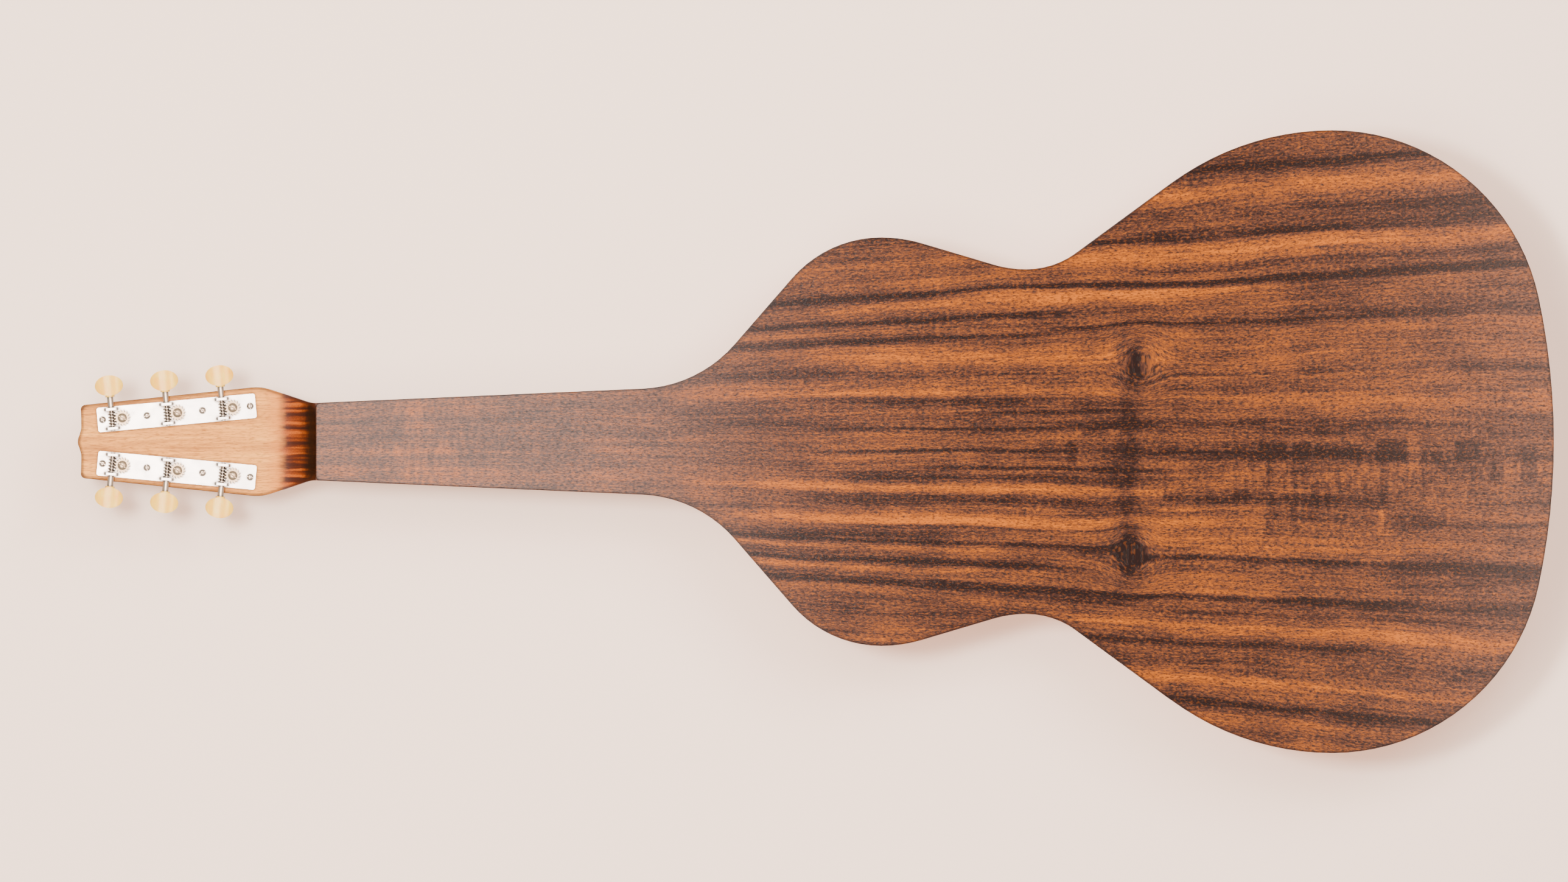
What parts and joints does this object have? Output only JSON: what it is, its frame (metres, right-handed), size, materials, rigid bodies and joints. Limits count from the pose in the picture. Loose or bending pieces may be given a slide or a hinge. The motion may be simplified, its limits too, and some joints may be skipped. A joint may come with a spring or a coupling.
{
  "type": "hollow-neck acoustic lap steel guitar",
  "caption": "Hollow-neck lap steel guitar: flat-backed waisted wooden body that tapers into a square hollow neck, raised strings over a round soundhole, geared tuners.",
  "frame": {"origin": "centre of the plan's bounding box, in the plane of the flat back", "axes": "+Z out of the soundboard towards the player, +X from the head to the tail, +Y towards the treble strings"},
  "size_m": [0.936, 0.394, 0.0839],
  "materials": {
    "back_wood": "oiled and lightly polished, bookmatched",
    "side_wood": "satin",
    "top_wood": "satin",
    "head_wood": "satin",
    "veneer_wood": "satin",
    "board_wood": "satin",
    "bridge_wood": "satin",
    "inner_wood": "raw",
    "rosette_wood": "satin",
    "fret_inlay": "flush",
    "pearl": "polished",
    "bone": "polished",
    "pin_plastic": "polished",
    "nickel_plate": "polished",
    "nickel_screw": "polished",
    "worm_steel": "machined",
    "gear_brass": "nickel plated, machined",
    "post_nickel": "polished",
    "button_plastic": "polished",
    "plain_string": "drawn wire",
    "wound_string": "wound bronze",
    "brass": "turned"
  },
  "bodies": {
    "body": {"soundboard": "top_wood", "back_half_bass": "back_wood", "back_half_treble": "back_wood", "side_bass": "side_wood", "side_treble": "side_wood", "headstock_and_neck_block": "head_wood", "head_veneer": "veneer_wood", "tail_block": "inner_wood", "top_linings": "inner_wood", "back_linings": "inner_wood", "fingerboard": "board_wood", "fret_lines": "fret_inlay", "position_dots": "pearl", "nut": "bone", "bridge": "bridge_wood", "saddle": "bone", "bridge_pins": "pin_plastic", "bridge_plate": "inner_wood", "x_brace": "inner_wood", "top_cross_braces": "inner_wood", "back_braces": "inner_wood", "back_seam_strip": "inner_wood", "soundhole_rosette": "rosette_wood", "tuner_plate_bass": "nickel_plate", "tuner_plate_treble": "nickel_plate", "tuner_screws": "nickel_screw", "worm_brackets": "nickel_plate", "post_bushings": "nickel_plate", "string_ball_ends": "brass", "string_1": "plain_string", "string_2": "plain_string", "string_3": "wound_string", "string_4": "wound_string", "string_5": "wound_string", "string_6": "wound_string"},
    "worm_1": {"worm_shaft_1": "worm_steel", "button_1": "button_plastic"},
    "post_1": {"gear_wheel_1": "gear_brass", "string_post_1": "post_nickel"},
    "worm_2": {"worm_shaft_2": "worm_steel", "button_2": "button_plastic"},
    "post_2": {"gear_wheel_2": "gear_brass", "string_post_2": "post_nickel"},
    "worm_3": {"worm_shaft_3": "worm_steel", "button_3": "button_plastic"},
    "post_3": {"gear_wheel_3": "gear_brass", "string_post_3": "post_nickel"},
    "worm_4": {"worm_shaft_4": "worm_steel", "button_4": "button_plastic"},
    "post_4": {"gear_wheel_4": "gear_brass", "string_post_4": "post_nickel"},
    "worm_5": {"worm_shaft_5": "worm_steel", "button_5": "button_plastic"},
    "post_5": {"gear_wheel_5": "gear_brass", "string_post_5": "post_nickel"},
    "worm_6": {"worm_shaft_6": "worm_steel", "button_6": "button_plastic"},
    "post_6": {"gear_wheel_6": "gear_brass", "string_post_6": "post_nickel"}
  },
  "joints": [
    {"name": "button_turn_1", "type": "hinge", "parent": "body", "child": "worm_1", "pos_m": [-0.37533, 0.02094, 0.01552], "axis": [-0.0921, 0.9957, -0.0072], "continuous": true},
    {"name": "post_turn_1", "type": "hinge", "parent": "body", "child": "post_1", "pos_m": [-0.36888, 0.02154, 0.01603], "axis": [-0.0785, 0, 0.9969], "continuous": true},
    {"name": "button_turn_2", "type": "hinge", "parent": "body", "child": "worm_2", "pos_m": [-0.41013, 0.0177, 0.01279], "axis": [-0.0921, 0.9957, -0.0072], "continuous": true},
    {"name": "post_turn_2", "type": "hinge", "parent": "body", "child": "post_2", "pos_m": [-0.40367, 0.0183, 0.01329], "axis": [-0.0785, 0, 0.9969], "continuous": true},
    {"name": "button_turn_3", "type": "hinge", "parent": "body", "child": "worm_3", "pos_m": [-0.44492, 0.01446, 0.01005], "axis": [-0.0921, 0.9957, -0.0072], "continuous": true},
    {"name": "post_turn_3", "type": "hinge", "parent": "body", "child": "post_3", "pos_m": [-0.43846, 0.01506, 0.01056], "axis": [-0.0785, 0, 0.9969], "continuous": true},
    {"name": "button_turn_4", "type": "hinge", "parent": "body", "child": "worm_4", "pos_m": [-0.44492, -0.01446, 0.01005], "axis": [-0.0921, -0.9957, -0.0072], "continuous": true},
    {"name": "post_turn_4", "type": "hinge", "parent": "body", "child": "post_4", "pos_m": [-0.43846, -0.01506, 0.01056], "axis": [-0.0785, 0, 0.9969], "continuous": true},
    {"name": "button_turn_5", "type": "hinge", "parent": "body", "child": "worm_5", "pos_m": [-0.41013, -0.0177, 0.01279], "axis": [-0.0921, -0.9957, -0.0072], "continuous": true},
    {"name": "post_turn_5", "type": "hinge", "parent": "body", "child": "post_5", "pos_m": [-0.40367, -0.0183, 0.01329], "axis": [-0.0785, 0, 0.9969], "continuous": true},
    {"name": "button_turn_6", "type": "hinge", "parent": "body", "child": "worm_6", "pos_m": [-0.37533, -0.02094, 0.01552], "axis": [-0.0921, -0.9957, -0.0072], "continuous": true},
    {"name": "post_turn_6", "type": "hinge", "parent": "body", "child": "post_6", "pos_m": [-0.36888, -0.02154, 0.01603], "axis": [-0.0785, 0, 0.9969], "continuous": true}
  ],
  "couplings": [
    {"joint": "post_turn_1", "follows": "button_turn_1", "ratio": 0.066667},
    {"joint": "post_turn_2", "follows": "button_turn_2", "ratio": 0.066667},
    {"joint": "post_turn_3", "follows": "button_turn_3", "ratio": 0.066667},
    {"joint": "post_turn_4", "follows": "button_turn_4", "ratio": -0.066667},
    {"joint": "post_turn_5", "follows": "button_turn_5", "ratio": -0.066667},
    {"joint": "post_turn_6", "follows": "button_turn_6", "ratio": -0.066667}
  ]
}
